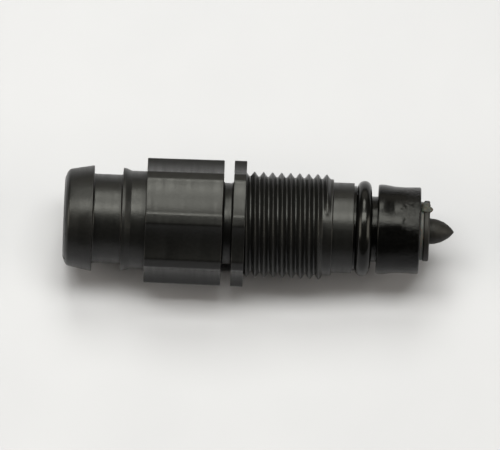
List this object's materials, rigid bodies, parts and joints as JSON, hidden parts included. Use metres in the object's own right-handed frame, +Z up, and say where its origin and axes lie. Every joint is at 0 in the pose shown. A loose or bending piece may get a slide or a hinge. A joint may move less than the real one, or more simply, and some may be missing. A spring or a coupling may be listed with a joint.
{
  "type": "drip emitter",
  "caption": "Screw-in drip fitting: a hose barb turning in a fluted body with a parallel pipe thread, an O-ring pilot, and a nose whose spring-loaded poppet opens outward under pressure.",
  "frame": {"origin": "on the thread axis, in the plane of the flange face that seats on the port", "axes": "+X along the thread axis, from the hose end to the drip point; +Z up with the fitting lying on two lands of its grip, a flute facing straight down; +Y completes the right-handed frame"},
  "size_m": [0.0784, 0.024, 0.024],
  "materials": {
    "body_plastic": "fine matt moulded surface",
    "tail_plastic": "fine matt moulded surface, faint flow marks",
    "ring_rubber": "satin",
    "wet_rubber": "greased, very shiny",
    "spring_steel": "drawn wire",
    "bearing_plastic": "smooth",
    "natural_plastic": "smooth, unpigmented",
    "screen_steel": "pierced sheet",
    "silicone": "translucent, soft",
    "nose_plastic": "wet with grease",
    "poppet_plastic": "matt, slightly mottled"
  },
  "bodies": {
    "housing": {"body": "body_plastic", "thrust_washer": "bearing_plastic", "tail_retaining_ring": "spring_steel", "regulator_cover": "natural_plastic", "metering_seat": "natural_plastic", "seat_o_ring": "ring_rubber", "labyrinth_core": "natural_plastic", "port_o_ring": "wet_rubber", "nose_cap": "nose_plastic", "nose_gasket": "ring_rubber", "stem_guide": "natural_plastic", "valve_spring": "spring_steel"},
    "tail": {"hose_tail": "tail_plastic", "tail_o_ring": "ring_rubber", "strainer_frame": "natural_plastic", "strainer_mesh": "screen_steel"},
    "diaphragm": {"regulator_diaphragm": "silicone"},
    "valve": {"poppet": "poppet_plastic", "poppet_seal": "silicone", "spring_cup": "natural_plastic", "stem_clip": "spring_steel"}
  },
  "joints": [
    {"name": "tail_swivel", "type": "hinge", "parent": "housing", "child": "tail", "pos_m": [-0.0153, 0, 0], "axis": [1, 0, 0], "continuous": true},
    {"name": "poppet_slide", "type": "slide", "parent": "housing", "child": "valve", "axis": [1, 0, 0], "range_m": [0, 0.002], "stiffness_N_per_m": 360, "springref_m": -0.004, "deforming": ["valve_spring"]},
    {"name": "diaphragm_lift", "type": "slide", "parent": "housing", "child": "diaphragm", "axis": [1, 0, 0], "range_m": [0, 0.0004], "stiffness_N_per_m": 50}
  ]
}
